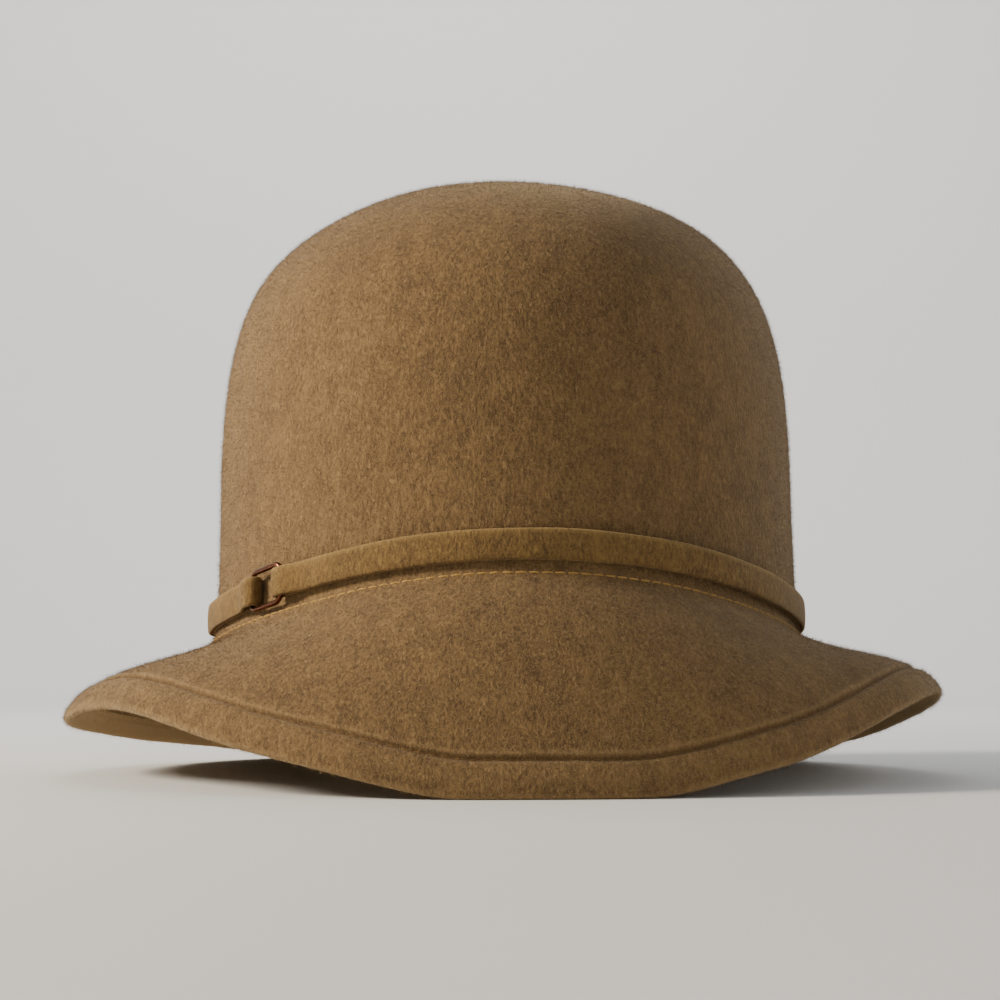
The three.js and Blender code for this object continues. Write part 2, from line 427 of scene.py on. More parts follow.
def toTable(points):
    # from the break line's frame to the hat's own
    x, y, z = np.moveaxis(points, -1, 0)
    sine, cosine = math.sin(-crown["leanBack"]), math.cos(crown["leanBack"])
    return np.stack([
        x + crown["middle"][0],
        y * cosine - z * sine + crown["middle"][1],
        y * sine + z * cosine + crown["breakHeight"],
    ], axis=-1)


def onCrown(direction, inset, scale, height):
    # a ring inside the crown's oval, at a height above the break line's middle
    return toTable(np.stack([
        (crown["halfWidth"] - inset) * scale * np.sin(direction),
        -(crown["halfLength"] - inset) * scale * np.cos(direction),
        height,
    ], axis=-1))


def domeScale(share):
    return (1 - crown["taper"] * share) * np.sqrt(np.maximum(0, 1 - share ** crown["squareness"]))


def onDome(direction, inset, share):
    # the dome's wall at a share of its height; its foot follows the break line's wave
    wave = breakWave(direction) * np.maximum(0, 1 - share / crown["waveFades"])
    return onCrown(direction, inset, domeScale(share), (crown["height"] - inset) * share + wave)


def softAbove(height):
    # the height itself well above the table, flattening out below it
    return (height + np.sqrt(height ** 2 + brim["restSoft"] ** 2)) / 2


def brimAt(direction):
    # the brim table's columns in each direction, on a smooth closed curve through its rows
    place = (direction / fullTurn) % 1 * len(brimTable)
    first = np.floor(place).astype(int)
    t = (place - first)[:, None]
    before, here, after, beyond = (brimTable[(first + step) % len(brimTable)] for step in (-1, 0, 1, 2))
    slopeHere = (after - before) / 2
    slopeAfter = (beyond - here) / 2
    bend = 3 * (after - here) - 2 * slopeHere - slopeAfter
    twist = 2 * (here - after) + slopeHere + slopeAfter
    return (here + slopeHere * t + bend * t ** 2 + twist * t ** 3).T


def bezier(*corners):
    # one cubic curve for each row of the four corners
    first, second, third, last = (corner[:, None, :] for corner in corners)
    t = np.linspace(0, 1, brim["samples"])[None, :, None]
    start = first * (1 - t) ** 3 + 3 * second * t * (1 - t) ** 2
    return start + 3 * third * t ** 2 * (1 - t) + last * t ** 3


class BrimCurve:
    # the brim's outside in each direction, as a curve of overhang and height
    def __init__(self, direction):
        self.direction = direction
        reach, wave, start, end = brimAt(direction)
        above = np.maximum(0, wave - brim["settle"])
        lift = above ** 2 / (above + brim["settle"]) * mm
        start = np.radians(start)
        self.end = np.radians(end)
        half = brim["hemThickness"] / 2
        breakHeight = toTable(onOval(direction, 0, 0))[:, 2]
        origin = np.stack([np.zeros_like(reach), breakHeight], axis=-1)
        self.edge = np.stack([reach * mm, lift + half - brim["restTrim"]], axis=-1)
        rim = self.edge + half * np.stack([np.sin(self.end), np.cos(self.end)], axis=-1)
        handle = (brim["handle"] * np.linalg.norm(rim - origin, axis=-1))[:, None]
        leave = origin + handle * np.stack([np.cos(start), -np.sin(start)], axis=-1)
        arrive = rim - handle * np.stack([np.cos(self.end), -np.sin(self.end)], axis=-1)
        self.points = bezier(origin, leave, arrive, rim)
        steps = np.linalg.norm(np.diff(self.points, axis=1), axis=-1)
        self.run = np.concatenate([np.zeros((len(direction), 1)), np.cumsum(steps, axis=1)], axis=1)
        self.length = self.run[:, -1]
        self.hemStart = self.length - brim["hemWidth"]
        self.seam = self.hemStart + brim["seamFromHem"]

    def under(self, run, depth):
        # points at a run from the crown in each direction, depth below the outside
        found = np.empty((len(run), 2))
        lean = np.empty((len(run), 2))
        nudge = 0.2 * mm
        for side, (line, marks) in enumerate(zip(self.points, self.run)):
            spots = np.clip([run[side] - nudge, run[side], run[side] + nudge], 0, marks[-1])
            xs, ys = np.interp(spots, marks, line[:, 0]), np.interp(spots, marks, line[:, 1])
            found[side] = xs[1], ys[1]
            lean[side] = xs[2] - xs[0], ys[2] - ys[0]
        lean /= np.linalg.norm(lean, axis=-1)[:, None]
        found += np.stack([lean[:, 1], -lean[:, 0]], axis=-1) * np.asarray(depth).reshape(-1, 1)
        return self.inSpace(found)

    def fold(self, turn):
        # points on the rounded edge, turned from its top towards its underside
        angle = math.pi / 2 - self.end - turn
        half = brim["hemThickness"] / 2
        return self.inSpace(self.edge + half * np.stack([np.cos(angle), np.sin(angle)], axis=-1))

    def inSpace(self, section):
        rim = onOval(self.direction, section[:, 0], 0)
        lowest = softAbove(-brim["restTrim"])
        return np.stack([
            rim[:, 0] + crown["middle"][0],
            rim[:, 1] * math.cos(crown["leanBack"]) + crown["middle"][1],
            np.maximum(0, softAbove(section[:, 1]) - lowest),
        ], axis=-1)


def smooth(values, low, high):
    share = np.clip((values - low) / (high - low), 0, 1)
    return share * share * (3 - 2 * share)


def bell(values, width):
    return np.exp(-(values / width) ** 2)


def roundedOblong(halfWide, halfTall, corner, cornerSteps, acrossSteps, upSteps):
    # points round an oblong with round corners; two steps leave a side without points of its own
    points = []
    for quarter, (right, up) in enumerate(((1, 1), (-1, 1), (-1, -1), (1, -1))):
        for turn in np.linspace(0, math.pi / 2, cornerSteps) + quarter * math.pi / 2:
            points.append((
                right * (halfWide - corner) + corner * math.cos(turn),
                up * (halfTall - corner) + corner * math.sin(turn),
            ))
        x, y = points[-1]
        toX, toY, steps = (-x, y, acrossSteps) if right == up else (x, -y, upSteps)
        for share in np.linspace(0, 1, steps)[1:-1]:
            points.append((x + share * (toX - x), y + share * (toY - y)))
    return points


def newObject(name, mesh):
    piece = bpy.data.objects.new(name, mesh)
    bpy.context.collection.objects.link(piece)
    return piece


def newMesh(name, corners, faces, material):
    mesh = bpy.data.meshes.new(name)
    mesh.from_pydata(corners.tolist(), [], faces)
    mesh.polygons.foreach_set("use_smooth", [True] * len(mesh.polygons))
    mesh.update()
    mesh.materials.append(material)
    return mesh


def strips(rings, count, closed):
    # faces between each ring of points and the next; closed also joins the last ring to the first
    here = np.arange(rings if closed else rings - 1)[:, None]
    after = (here + 1) % rings
    side = np.arange(count)
    beside = (side + 1) % count
    corners = [here * count + side, after * count + side, after * count + beside, here * count + beside]
    return np.stack(corners, axis=-1).reshape(-1, 4).tolist()


def ringMesh(name, rings, material, poles=None):
    # closed surface through rings of points; poles close its ends, or the last ring meets the first
    count = rings.shape[1]
    corners = rings.reshape(-1, 3)
    faces = strips(len(rings), count, poles is None)
    if poles is not None:
        top = len(corners)
        last = top - count
        for place in range(count):
            beside = (place + 1) % count
            faces.append([top, place, beside])
            faces.append([top + 1, last + beside, last + place])
        corners = np.concatenate([corners, poles])
    return newMesh(name, corners, faces, material)


def store(mesh, name, values):
    layer = mesh.attributes.new(name, "FLOAT", "POINT")
    layer.data.foreach_set("value", np.asarray(values, dtype=np.float32))


# felt crown and brim in one piece

shell = {
    "directions": 320,
    "crownRows": 104,
    "innerCrownRows": 56,
    "outerBrimRows": {"plain": 34, "seam": 20, "edge": 6},
    "foldRows": 9,
    "hemRows": 8,
    "innerBrimRows": 24,
    "seamDip": 0.85 * mm,          # how far the thread pulls the felt in
    "innerDip": 0.4,               # share of that on the hem's inside
    "seamWidth": 0.72 * mm,
    "seamLip": 0.16 * mm,          # how far the felt bulges just above the thread
    "lipAbove": 1.3 * mm,
    "seamZone": 3.6 * mm,          # to either side of the thread, where rows are close
    "hemPuff": 0.4 * mm,
    # painted highlight on the lip above the thread and on the puffed hem, carried in the worn mark
    "lipHighlight": 0.55,
    "puffHighlight": 0.2,
    "turnedIn": (1.5, 3.0),        # turn round the edge over which the outside becomes the inside
    "hemShort": 0.4 * mm,          # from the hem's last row to its raw edge
    "rawEdge": ((0.1, 0.12), (-0.1, 0.5), (-0.2, 0.88)),   # mm from its end, share of the step to the wall
    "wallFrom": 0.5 * mm,          # from the raw edge to the wall's first row
    "breakRounding": {"outside": (3, 10), "inside": (2, 3)},   # rows to either side, and passes
    "waveSize": 0.55 * mm,         # slow dents left by blocking
    "wavePitch": 26.0,
    "lumpSize": 0.13 * mm,         # fine unevenness of felted wool
    "lumpPitch": 240.0,
    "fadeFrom": 1 * mm,            # height above the table where dents and lumps set in
    "fadeOver": 4 * mm,
    "seed": 11,
}


def evenShares(rows):
    # shares of the crown's height that are evenly spaced along its outside, from the foot up
    fine = 1 - (1 - np.linspace(0, 1, crown["samples"])) ** 2
    wide = crown["halfLength"] * domeScale(fine)
    run = np.concatenate([[0], np.cumsum(np.hypot(np.diff(wide), np.diff(fine) * crown["height"]))])
    return np.interp(np.linspace(0, run[-1], rows + 2), run, fine)[1:-1]


def brimRuns(curve):
    # distances from the crown over the brim's outside, closer together beside the seam
    counts, zone = shell["outerBrimRows"], shell["seamZone"]
    for share in np.linspace(0, 1, counts["plain"], endpoint=False):
        yield share * (curve.seam - zone)
    for share in np.linspace(-1, 1, counts["seam"], endpoint=False):
        yield curve.seam + share * zone
    for share in np.linspace(0, 1, counts["edge"]):
        yield curve.seam + zone + share * (curve.length - curve.seam - zone)


# each of these yields rings of points, with the marks that the finish and the fibres read

def crownOutside(direction):
    for share in evenShares(shell["crownRows"])[::-1]:
        yield onDome(direction, 0, share), {}


def brimOutside(curve):
    for run in brimRuns(curve):
        past = run - curve.seam
        groove = bell(past, shell["seamWidth"])
        lip = bell(past + shell["lipAbove"], shell["seamWidth"])
        puff = np.sin(math.pi * np.clip(past / (curve.length - curve.seam), 0, 1))
        depth = shell["seamDip"] * groove - shell["seamLip"] * lip - shell["hemPuff"] * puff
        # painted highlight on the lip and the puffed hem, stored in the worn mark
        worn = shell["lipHighlight"] * lip + shell["puffHighlight"] * puff
        yield curve.under(run, depth), {"brim": 1, "worn": worn, "groove": groove}


def brimFold(curve):
    for turn in np.linspace(0, math.pi, shell["foldRows"] + 2)[1:-1]:
        inner = smooth(turn, *shell["turnedIn"])
        yield curve.fold(turn), {"inner": inner, "hem": 1, "brim": 1, "worn": math.sin(turn)}


def hemInside(curve):
    for share in np.linspace(0, 1, shell["hemRows"]):
        run = curve.length - share * (brim["hemWidth"] - shell["hemShort"])
        dip = shell["innerDip"] * shell["seamDip"] * bell(run - curve.seam, shell["seamWidth"])
        yield curve.under(run, brim["hemThickness"] - dip), {"inner": 1, "hem": 1, "brim": 1}
    for past, drop in shell["rawEdge"]:
        depth = brim["hemThickness"] - drop * (brim["hemThickness"] - brim["wall"])
        yield curve.under(curve.hemStart + past * mm, depth), {"inner": 1, "hem": 1 - drop, "brim": 1}


def brimInside(curve):
    for share in np.linspace(0, 1, shell["innerBrimRows"]):
        run = (curve.hemStart - shell["wallFrom"]) * (1 - share)
        yield curve.under(run, brim["wall"]), {"inner": 1, "brim": 1}


def crownInside(direction):
    for share in evenShares(shell["innerCrownRows"]):
        yield onDome(direction, brim["wall"], share), {"inner": 1}


def roundBreak(rings, middle, side):
    # smooths the rows to either side of the fold between crown and brim
    reach, passes = shell["breakRounding"][side]
    near = slice(middle - reach, middle + reach + 1)
    for _ in range(passes):
        before = rings[near.start - 1:near.stop - 1]
        after = rings[near.start + 1:near.stop + 1]
        rings[near] = 0.5 * rings[near] + 0.25 * (before + after)


def roughen(mesh):
    # slow dents and fine lumps along the normals, fading out where the brim rests
    drift = Vector((shell["seed"], 0, 0))
    moved = []
    for vertex in mesh.vertices:
        fade = min(1, max(0, vertex.co.z - shell["fadeFrom"]) / shell["fadeOver"])
        dent = noise.noise(vertex.co * shell["wavePitch"] + drift) * shell["waveSize"]
        lump = noise.noise(vertex.co * shell["lumpPitch"] + drift) * shell["lumpSize"]
        moved.append(vertex.co + vertex.normal * (dent + lump) * fade)
    mesh.vertices.foreach_set("co", np.array(moved, dtype=np.float32).ravel())
    mesh.update()


def buildShell():
    direction = turnsRound(shell["directions"])
    curve = BrimCurve(direction)
    rows = [
        *crownOutside(direction), *brimOutside(curve), *brimFold(curve),
        *hemInside(curve), *brimInside(curve), *crownInside(direction),
    ]
    rings = np.array([points for points, _ in rows])
    roundBreak(rings, shell["crownRows"], "outside")
    roundBreak(rings, len(rows) - shell["innerCrownRows"] - 1, "inside")
    poles = np.array([onDome(0.0, inset, 1.0) for inset in (0, brim["wall"])])
    mesh = ringMesh("feltShell", rings, camelFelt, poles)
    for name in ("inner", "hem", "brim", "worn", "groove"):
        values = [np.broadcast_to(marks.get(name, 0), direction.shape) for _, marks in rows]
        atPoles = [0, 1 if name == "inner" else 0]
        store(mesh, name, np.append(np.array(values).ravel(), atPoles))
    roughen(mesh)
    return newObject("feltShell", mesh)


feltShell = buildShell()
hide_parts("felt_body")
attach(feltShell, "root")
print("felt shell:", len(feltShell.data.polygons), "faces")


# band strap: one strip of felt, its two layers joined round the slide's short bars

strap = {
    "height": 8 * mm,
    "foot": 2.6 * mm,
    "layer": 1.3 * mm,
    "thickness": 1.22 * mm,
    "gap": 0.3 * mm,
    "layersMeet": (1.2 * mm, 8.4 * mm),   # run from the slide over which the layers close up
    "eyeSteps": 14,                # round a bar of the slide
    "step": 2.0 * mm,
    "bow": 0.3 * mm,               # how far the outer face stands out at mid height
    "innerBow": 0.6,               # share of that on the inner face
    "edgeRound": 0.58 * mm,
    "edgeSteps": 4,
    "faceSteps": 8,
    "edgeWander": 0.24 * mm,
    "wanderPitch": 55.0,
    "wanderSeed": 7,
    # painted highlight on the strap's top edge only
    "topEdgeHighlight": (0.7, 0.98),       # shares of half its height
    "standOff": 0.8 * mm,          # slack at the front on the wearer's left
    "slackAt": math.radians(33),
    "slackWidth": math.radians(15),
    "ovalSamples": 2881,
}
slide = {
    "direction": math.radians(-51),
    "length": 15 * mm,
    "wire": 1.5 * mm,
    "cornerRadius": 2.2 * mm,
    "wireSides": 14,
    "cornerSteps": 9,
    "barSteps": 12,
}
wireOffset = 2 * strap["gap"] + strap["layer"] + slide["wire"] / 2
barReach = (slide["length"] - slide["wire"]) / 2


def ovalRun():
    # table of distance round the oval, starting at the slide
    turns = slide["direction"] + np.linspace(0, fullTurn, strap["ovalSamples"])
    spots = onOval(turns, 0, 0)[:, :2]
    run = np.concatenate([[0], np.cumsum(np.linalg.norm(np.diff(spots, axis=0), axis=1))])
    return turns, run


def strapPath():
    # the strip's middle line as direction round the oval and offset from it
    turns, run = ovalRun()
    whole = run[-1]
    eye = slide["wire"] / 2 + strap["gap"] + strap["layer"] / 2
    steps = int((whole - 2 * barReach) / strap["step"])
    along = np.linspace(barReach, whole - barReach, steps)
    fromBar = np.minimum(along - barReach, whole - barReach - along)
    apart = 1 - smooth(fromBar, *strap["layersMeet"])
    pressed = strap["gap"] + 1.5 * strap["layer"]   # middle of the outer layer, lying on the inner
    outer = np.stack([along, pressed + apart * (wireOffset + eye - pressed)], axis=-1)
    inner = np.stack([along[::-1], np.full(steps, wireOffset - eye)], axis=-1)
    arc = np.linspace(0, math.pi, strap["eyeSteps"])[1:-1]
    farEye = np.stack([whole - barReach + eye * np.sin(arc), wireOffset + eye * np.cos(arc)], axis=-1)
    nearEye = np.stack([barReach - eye * np.sin(arc), wireOffset - eye * np.cos(arc)], axis=-1)
    path = np.concatenate([outer, farEye, inner, nearEye])
    direction = np.interp(path[:, 0], run, turns)
    slack = bell(direction - strap["slackAt"], strap["slackWidth"])
    return direction, path[:, 1] + strap["standOff"] * slack


def closedTangent(points):
    tangent = np.roll(points, -1, axis=0) - np.roll(points, 1, axis=0)
    return tangent / np.linalg.norm(tangent, axis=1)[:, None]


def buildStrap():
    direction, offset = strapPath()
    base = onOval(direction, offset, strap["foot"] + strap["height"] / 2)
    tangent = closedTangent(base[:, :2])
    sideways = np.stack([tangent[:, 1], -tangent[:, 0]], axis=-1)
    half, tall = strap["thickness"] / 2, strap["height"] / 2
    section = roundedOblong(half, tall, strap["edgeRound"], strap["edgeSteps"], 2, strap["faceSteps"])
    rings, worn = [], []
    for across, up in section:
        drift = Vector((0, 0, strap["wanderSeed"] * np.sign(up)))
        wander = np.array([noise.noise(Vector(spot) * strap["wanderPitch"] + drift) for spot in base])
        bow = strap["bow"] * (1 - (up / tall) ** 2) * (1 if across > 0 else strap["innerBow"])
        ring = base.copy()
        ring[:, :2] += sideways * (across + bow)
        ring[:, 2] += up + wander * strap["edgeWander"] * abs(up) / tall
        rings.append(toTable(ring))
        # painted highlight along the strap's top edge, stored in the worn mark
        worn.append(np.full(len(ring), smooth(up / tall, *strap["topEdgeHighlight"])))
    mesh = ringMesh("bandStrap", np.array(rings), bandFelt)
    store(mesh, "worn", np.array(worn).ravel())
    for name in ("inner", "hem", "brim", "groove"):
        store(mesh, name, np.zeros(len(mesh.vertices)))
    return newObject("bandStrap", mesh)


bandStrap = buildStrap()
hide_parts("band")
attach(bandStrap, "root")
print("band strap:", len(bandStrap.data.polygons), "faces")


# metal slide: a loop of round wire bent with the crown

def turnFor(length, direction):
    # the turn that covers a short length of the oval
    across = crown["halfWidth"] * math.cos(direction)
    lengthways = crown["halfLength"] * math.sin(direction)
    return length / math.hypot(across, lengthways)


def buildSlide():
    radius = slide["wire"] / 2
    halfHeight = strap["height"] / 2 + strap["gap"] + radius
    middle = strap["foot"] + strap["height"] / 2
    steps = slide["cornerSteps"], slide["barSteps"], slide["barSteps"]
    path = np.array(roundedOblong(barReach, halfHeight, slide["cornerRadius"], *steps))
    tangent = closedTangent(path)
    rings = []
    for turn in turnsRound(slide["wireSides"]):
        out = radius * math.cos(turn)
        along = path[:, 0] + tangent[:, 1] * out
        up = path[:, 1] - tangent[:, 0] * out
        direction = slide["direction"] + turnFor(along, slide["direction"])
        rings.append(toTable(onOval(direction, wireOffset + radius * math.sin(turn), middle + up)))
    return newObject("slideLoop", ringMesh("slideLoop", np.array(rings), darkBronze))


slideLoop = buildSlide()
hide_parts("slide")
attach(slideLoop, "root")
print("slide:", len(slideLoop.data.polygons), "faces")


# ribbed ribbon inside the foot of the crown

ribbon = {
    "height": 28 * mm,
    "foot": 1.2 * mm,
    "thickness": 0.8 * mm,
    "gap": 0.35 * mm,
    "ribs": 520,
    "stepsPerRib": 5,
    "ribDepth": 0.09 * mm,
    "faceRows": (0, 0.03, 0.08, 0.2, 0.5, 0.85, 1),
    "backRows": (1, 0.5, 0.08, 0),
    "footFlare": 0.75 * mm,        # its sewn foot leans out to the felt
    "flareShare": 0.1,             # of its height
    "slack": 0.35 * mm,            # how far its top edge stands off the felt here and there
    "slackWaves": 5,
    "slackStart": 1.2,
}


def buildRibbon():
    direction = turnsRound(ribbon["ribs"] * ribbon["stepsPerRib"])
    rib = 0.5 + 0.5 * np.cos(ribbon["ribs"] * direction)
    loose = 0.5 + 0.5 * np.sin(ribbon["slackWaves"] * direction + ribbon["slackStart"])
    back = brim["wall"] + ribbon["gap"]
    face = back + ribbon["thickness"]
    rows = []
    for inset, shares, ribDepth in (
        (face, ribbon["faceRows"], ribbon["ribDepth"]),
        (back, ribbon["backRows"], 0),
    ):
        for share in shares:
            up = ribbon["foot"] + share * ribbon["height"] + breakWave(direction)
            slack = ribbon["slack"] * share * loose
            flare = ribbon["footFlare"] * (1 - smooth(share, 0, ribbon["flareShare"]))
            scale = domeScale(np.maximum(0, up) / crown["height"])
            rows.append(onCrown(direction, inset + slack + ribDepth * rib - flare, scale, up))
    mesh = ringMesh("sweatRibbon", np.array(rows), brownRibbon)
    store(mesh, "rib", np.tile(rib, len(rows)))
    return newObject("sweatRibbon", mesh)


sweatRibbon = buildRibbon()
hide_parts("sweatband")
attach(sweatRibbon, "root")
print("ribbon:", len(sweatRibbon.data.polygons), "faces")


# stitches and fuzz come from geometry node trees

class Grower(Tree):
    # a geometry node tree with named inputs
    def __init__(self, name, inputs):
        super().__init__(bpy.data.node_groups.new(name, "GeometryNodeTree"))
        interface = self.tree.interface
        interface.new_socket("Geometry", in_out="INPUT", socket_type="NodeSocketGeometry")
        interface.new_socket("Geometry", in_out="OUTPUT", socket_type="NodeSocketGeometry")
        self.names = {}
        for socket, kind in inputs.items():
            made = interface.new_socket(socket, in_out="INPUT", socket_type=f"NodeSocket{kind}")
            self.names[socket] = made.identifier
        self.source = self.tree.nodes.new("NodeGroupInput")

    def given(self, name):
        return Socket(self, self.source.outputs[name])

    def stored(self, name, kind="FLOAT"):
        return self.add("GeometryNodeInputNamedAttribute", {"data_type": kind}, {"Name": name})

    def joined(self, **parts):
        return self.add("ShaderNodeCombineXYZ", {}, parts)

    def vector(self, operation, *values):
        output = "Value" if operation == "DOT_PRODUCT" else "Vector"
        return self.add("ShaderNodeVectorMath", {"operation": operation}, dict(enumerate(values)), output)

    def scaled(self, vector, factor):
        return self.add("ShaderNodeVectorMath", {"operation": "SCALE"}, {0: vector, "Scale": factor})

    def turnedTo(self, vector, **settings):
        return self.add("FunctionNodeAlignRotationToVector", settings, {"Vector": vector})

    def anyNumber(self, low, high, seed):
        sockets = {2: low, 3: high, "Seed": seed}
        return self.add("FunctionNodeRandomValue", {"data_type": "FLOAT"}, sockets, 1)

    def anyVector(self, size, seed):
        sockets = {0: (-size,) * 3, 1: (size,) * 3, "Seed": seed}
        return self.add("FunctionNodeRandomValue", {"data_type": "FLOAT_VECTOR"}, sockets)

    def placed(self, points, instance, rotation, scale):
        sockets = {"Points": points, "Instance": instance, "Rotation": rotation, "Scale": scale}
        instances = self.add("GeometryNodeInstanceOnPoints", {}, sockets)
        return self.add("GeometryNodeRealizeInstances", {}, {"Geometry": instances})

    def endWith(self, geometry):
        sockets = {"Geometry": geometry, "Material": self.given("Finish")}
        done = self.add("GeometryNodeSetMaterial", {}, sockets)
        out = self.tree.nodes.new("NodeGroupOutput")
        self.tree.links.new(done.output, out.inputs[0])


def growOn(mesh, grower, name, values):
    # runs a tree on a copy of a mesh and keeps the result as a plain mesh of its own
    source = newObject(name + "Source", mesh.copy())
    source.data.materials.clear()
    modifier = source.modifiers.new(grower.tree.name, "NODES")
    modifier.node_group = grower.tree
    for socket, value in values.items():
        modifier[grower.names[socket]] = value
    shown = source.evaluated_get(bpy.context.evaluated_depsgraph_get())
    made = bpy.data.meshes.new_from_object(shown)
    made.name = name
    source.modifiers.clear()
    bpy.data.objects.remove(source)
    piece = newObject(name, made)
    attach(piece, "root")
    return piece


stitch = {
    "pitch": 3.3 * mm,
    "share": 0.78,                 # of the pitch that shows as thread
    "thread": 0.2 * mm,            # radius
    "sunk": 0.2 * mm,
    "arch": 0.3 * mm,
    "shortest": 0.9,               # lengths vary between these shares
    "longest": 1.06,
    "bowSteps": 6,
    "threadSides": 6,
    "points": 480,
    "seed": 5,
    "breakRun": 1.3 * mm,          # from the crown's foot out over the brim
    "breakThread": 0.29 * mm,
    "ribbonRise": 1.6 * mm,        # above the ribbon's foot
    "ribbonPitch": 2.2 * mm,
    "ribbonThread": 0.14 * mm,
}


def makeStitchTree():
    grower = Grower("sewnRow", {
        "Count": "Int", "Length": "Float", "Thread": "Float", "Sunk": "Float", "Arch": "Float",
        "Seed": "Int", "Finish": "Material",
    })
    line = grower.add("GeometryNodeMeshToCurve", {}, {"Mesh": grower.given("Geometry")})
    spaced = grower.add("GeometryNodeResampleCurve", {}, {"Curve": line, "Count": grower.given("Count")})
    forward = grower.turnedTo(grower.add("GeometryNodeInputTangent", {}, {}), axis="X")
    settled = grower.add(
        "FunctionNodeAlignRotationToVector", {"axis": "Z", "pivot_axis": "X"},
        {"Rotation": forward, "Vector": grower.stored("outward", "FLOAT_VECTOR")},
    )
    half = grower.given("Length") * 0.5
    below = grower.given("Sunk") * -1.0
    bow = grower.add("GeometryNodeCurveQuadraticBezier", {}, {
        "Resolution": stitch["bowSteps"],
        "Start": grower.joined(X=half * -1.0, Z=below),
        "Middle": grower.joined(Z=grower.given("Arch")),
        "End": grower.joined(X=half, Z=below),
    })
    ring = grower.add("GeometryNodeCurvePrimitiveCircle", {}, {
        "Resolution": stitch["threadSides"],
        "Radius": grower.given("Thread"),
    })
    thread = grower.add("GeometryNodeCurveToMesh", {}, {
        "Curve": bow,
        "Profile Curve": ring,
        "Fill Caps": True,
    })
    longer = grower.anyNumber(stitch["shortest"], stitch["longest"], grower.given("Seed"))
    grower.endWith(grower.placed(spaced, thread, settled, grower.joined(X=longer, Y=1.0, Z=1.0)))
    return grower


def seamLine(name, points, outward):
    mesh = bpy.data.meshes.new(name)
    count = len(points)
    mesh.from_pydata(points.tolist(), [(place, (place + 1) % count) for place in range(count)], [])
    layer = mesh.attributes.new("outward", "FLOAT_VECTOR", "POINT")
    layer.data.foreach_set("vector", np.asarray(outward, dtype=np.float32).ravel())
    return mesh


def onFelt(points):
    # the nearest places on the felt, with its normals there
    hits = [feltShell.closest_point_on_mesh(Vector(spot)) for spot in points]
    return np.array([spot for _, spot, _, _ in hits]), np.array([normal for _, _, normal, _ in hits])


def sewRow(name, points, outward, material, slotName, pitch=stitch["pitch"], thread=stitch["thread"]):
    length = float(np.linalg.norm(points - np.roll(points, 1, axis=0), axis=1).sum())
    piece = growOn(seamLine(name, points, outward), sewnRow, name, {
        "Count": round(length / pitch),
        "Length": pitch * stitch["share"],
        "Thread": thread,
        "Sunk": stitch["sunk"],
        "Arch": stitch["arch"],
        "Seed": stitch["seed"],
        "Finish": material,
    })
    print(name + ":", len(piece.data.polygons), "faces")


def sewBrim():
    curve = BrimCurve(turnsRound(stitch["points"]))
    outside = onFelt(curve.under(curve.seam, shell["seamDip"]))
    inside = onFelt(curve.under(curve.seam, brim["hemThickness"]))
    atBreak = onFelt(curve.under(np.full_like(curve.length, stitch["breakRun"]), 0))
    sewRow("hemStitchesOutside", *outside, brownThread, "camel_felt")
    sewRow("hemStitchesInside", *inside, goldThread, "camel_felt")
    sewRow("breakStitches", *atBreak, goldThread, "camel_felt", thread=stitch["breakThread"])


def sewRibbon():
    direction = turnsRound(stitch["points"])
    depth = brim["wall"] + ribbon["gap"] + ribbon["thickness"] + ribbon["ribDepth"]
    up = ribbon["foot"] + stitch["ribbonRise"] + breakWave(direction)
    line = onCrown(direction, depth, 1, up)
    inward = np.stack([-np.sin(direction), np.cos(direction), np.zeros_like(direction)], axis=-1)
    size = stitch["ribbonPitch"], stitch["ribbonThread"]
    sewRow("ribbonStitches", line, inward, brownThread, "brown_ribbon", *size)


sewnRow = makeStitchTree()
sewBrim()
sewRibbon()


fuzz = {
    "grooveBare": 0.8,             # how bare of fibres the stitched groove is
    "lowest": 0.2 * mm,            # no fibre reaches lower than this above the table
    "sides": 3,
}


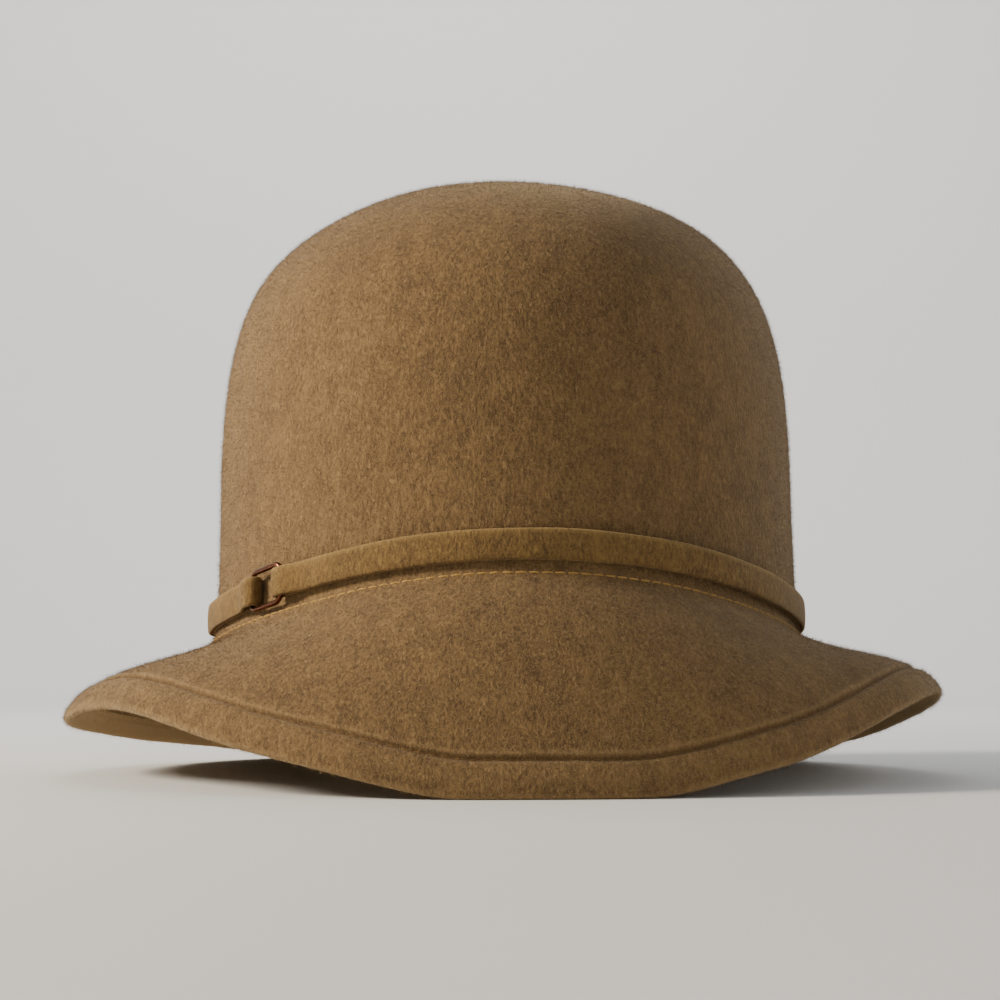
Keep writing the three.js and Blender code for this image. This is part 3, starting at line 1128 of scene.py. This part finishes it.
def makeFuzzTree():
    grower = Grower("woolFuzz", {
        "Amount": "Float", "Shortest": "Float", "Longest": "Float", "Thick": "Float",
        "Lowest lift": "Float", "Highest lift": "Float", "Inner": "Float", "Brim": "Float",
        "Patch": "Float", "Contrast": "Float", "Comb": "Float", "Seed": "Int", "Finish": "Material",
    })
    where = grower.add("GeometryNodeInputPosition", {}, {})
    seed = grower.given("Seed")
    patch = grower.add("ShaderNodeTexNoise", {}, {"Vector": where, "Scale": grower.given("Patch")})
    dense = ((patch - 0.5) * grower.given("Contrast") + 0.5).clamped()
    onSide = 1 - abs(grower.stored("inner") - grower.given("Inner"))
    onPart = 1 - abs(grower.stored("brim") - grower.given("Brim"))
    clear = 1 - grower.stored("groove") * fuzz["grooveBare"]
    spots = grower.add("GeometryNodeDistributePointsOnFaces", {}, {
        "Mesh": grower.given("Geometry"),
        "Density": grower.given("Amount") * dense * onSide * onPart * clear,
        "Seed": seed,
    })
    # each fibre lies any way along the felt, combed a little downwards, and is then lifted off it
    normal = spots.sibling("Normal")
    anyWay = grower.vector("ADD", grower.anyVector(1.0, seed + 1), grower.joined(Z=grower.given("Comb")))
    outPart = grower.scaled(normal, grower.vector("DOT_PRODUCT", anyWay, normal))
    flat = grower.vector("NORMALIZE", grower.vector("SUBTRACT", anyWay, outPart))
    lift = grower.anyNumber(grower.given("Lowest lift"), grower.given("Highest lift"), seed + 2)
    along = grower.scaled(flat, grower.maths("COSINE", lift))
    out = grower.scaled(normal, grower.maths("SINE", lift))
    turned = grower.turnedTo(grower.vector("ADD", along, out), axis="Z")
    length = grower.anyNumber(grower.given("Shortest"), grower.given("Longest"), seed + 3)
    size = grower.joined(X=grower.given("Thick"), Y=grower.given("Thick"), Z=length)
    fibre = grower.add("GeometryNodeMeshCone", {"fill_type": "NONE"}, {
        "Vertices": fuzz["sides"], "Radius Top": 0.0, "Radius Bottom": 1.0, "Depth": 1.0,
    })
    grown = grower.placed(spots, fibre, turned, size)
    x = grower.add("ShaderNodeSeparateXYZ", {}, {"Vector": where}, "X")
    y, z = x.sibling("Y"), x.sibling("Z")
    above = grower.joined(X=x, Y=y, Z=grower.maths("MAXIMUM", z, fuzz["lowest"]))
    grower.endWith(grower.add("GeometryNodeSetPosition", {}, {"Geometry": grown, "Position": above}))
    return grower


paleNap = {
    "Shortest": 0.9 * mm,
    "Longest": 2.2 * mm,
    "Thick": 0.04 * mm,
    "Lowest lift": 0.06,           # radians off the felt
    "Highest lift": 0.55,
    "Patch": 190.0,
    "Contrast": 1.6,
    "Comb": -0.75,                 # downward pull beside a random way
}
deepNap = {**paleNap, "Contrast": -1.6}   # dense where the pale nap is thin
innerNap = {**paleNap, "Longest": 1.8 * mm}
bandPaleNap = {**paleNap, "Shortest": 0.7 * mm, "Longest": 1.6 * mm, "Highest lift": 0.8}
bandDeepNap = {**deepNap, "Shortest": 0.7 * mm, "Longest": 1.5 * mm}
strayHair = {
    "Shortest": 0.6 * mm,
    "Longest": 1.8 * mm,
    "Thick": 0.043 * mm,
    "Lowest lift": 0.85,
    "Highest lift": 1.45,
    "Patch": 190.0,
    "Contrast": 0.8,
    "Comb": 0.0,
}
offBrim = {"Inner": 0.0, "Brim": 0.0}   # the crown's outside, or all of the band
overBrim = {"Inner": 0.0, "Brim": 1.0}
underBrim = {"Inner": 1.0, "Brim": 1.0}
fuzzLayers = {  # mesh, finish, slot, fibres, where they grow, how many to a square metre, seed
    "crownFuzzPale": (feltShell, paleFuzz, "camel_felt", paleNap, offBrim, 8.5e5, 21),
    "crownFuzzDeep": (feltShell, deepFuzz, "camel_felt", deepNap, offBrim, 7.5e5, 22),
    "brimFuzzPale": (feltShell, paleFuzz, "camel_felt", paleNap, overBrim, 1.0e6, 23),
    "brimFuzzDeep": (feltShell, deepFuzz, "camel_felt", deepNap, overBrim, 9.0e5, 24),
    "innerFuzz": (feltShell, innerFuzz, "camel_felt", innerNap, underBrim, 6.0e5, 25),
    "bandFuzzPale": (bandStrap, bandFuzz, "band_felt", bandPaleNap, offBrim, 1.6e6, 26),
    "bandFuzzDeep": (bandStrap, deepFuzz, "band_felt", bandDeepNap, offBrim, 9.0e5, 27),
    "crownHairs": (feltShell, camelFuzz, "camel_felt", strayHair, offBrim, 1.25e6, 28),
    "brimHairs": (feltShell, camelFuzz, "camel_felt", strayHair, overBrim, 1.3e6, 29),
}


def growFuzz():
    for name, (source, material, slotName, fibres, where, amount, seed) in fuzzLayers.items():
        values = {**fibres, **where, "Amount": amount, "Seed": seed, "Finish": material}
        piece = growOn(source.data, woolFuzz, name, values)
        print(name + ":", len(piece.data.polygons), "faces")


woolFuzz = makeFuzzTree()
growFuzz()


# plain pale floor that curves up into a wall all round

room = {
    "centre": 0.02,                # radius of the innermost ring
    "flat": 1.35,
    "cove": 0.45,
    "coveSteps": 13,
    "wall": 1.3,
    "sides": 96,
}


def buildRoom():
    flat, cove, count = room["flat"], room["cove"], room["sides"]
    profile = [(room["centre"], 0), (flat / 2, 0), (flat, 0)]
    for turn in np.linspace(0, math.pi / 2, room["coveSteps"])[1:]:
        profile.append((flat + cove * math.sin(turn), cove * (1 - math.cos(turn))))
    profile.append((flat + cove, room["wall"]))
    around = turnsRound(count)
    rings = []
    for radius, height in profile:
        level = np.full_like(around, height)
        rings.append(np.stack([radius * np.cos(around), radius * np.sin(around), level], axis=-1))
    corners = np.concatenate(rings + [np.zeros((1, 3))])
    middle = len(corners) - 1
    faces = strips(len(rings), count, False)
    faces += [[middle, side, (side + 1) % count] for side in range(count)]
    return newObject("paleFloor", newMesh("paleFloor", corners, faces, makeFloor()))


buildRoom()
print("floor made")
